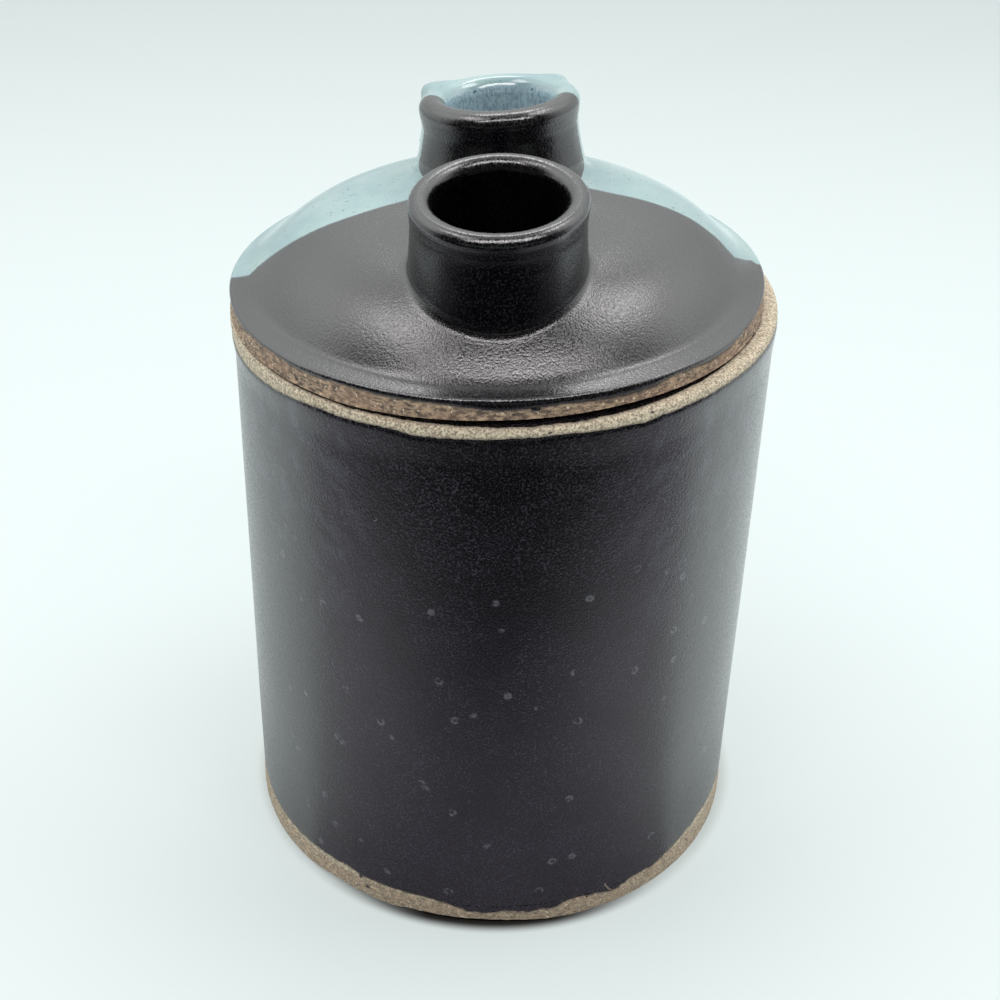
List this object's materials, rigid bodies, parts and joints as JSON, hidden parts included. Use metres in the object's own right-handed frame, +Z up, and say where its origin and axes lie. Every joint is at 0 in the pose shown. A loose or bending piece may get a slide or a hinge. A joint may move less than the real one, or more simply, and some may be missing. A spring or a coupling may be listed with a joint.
{
  "type": "covered canister vase",
  "caption": "Round stoneware canister vase with a lift-off domed lid that carries short open spouts for flower stems.",
  "frame": {"origin": "centre of the underside of the foot, on the surface that the vase stands on", "axes": "+Z up along the axis of the canister, -Y towards the side of the lower spout, +X to the right seen from that side"},
  "size_m": [0.131, 0.131, 0.192],
  "materials": {
    "dark_glaze": null,
    "lid_glaze": null,
    "rear_glaze": null,
    "bare_clay": null
  },
  "bodies": {
    "canister": {"floor_disc": "bare_clay", "body_wall": "dark_glaze"},
    "lid": {"lid_slab": "lid_glaze", "locating_ring": "bare_clay", "front_spout": "dark_glaze", "rear_spout": "rear_glaze"}
  },
  "joints": [
    {"name": "lid_lift", "type": "slide", "parent": "canister", "child": "lid", "axis": [0, 0, 1], "range_m": [0, 0.06]}
  ]
}
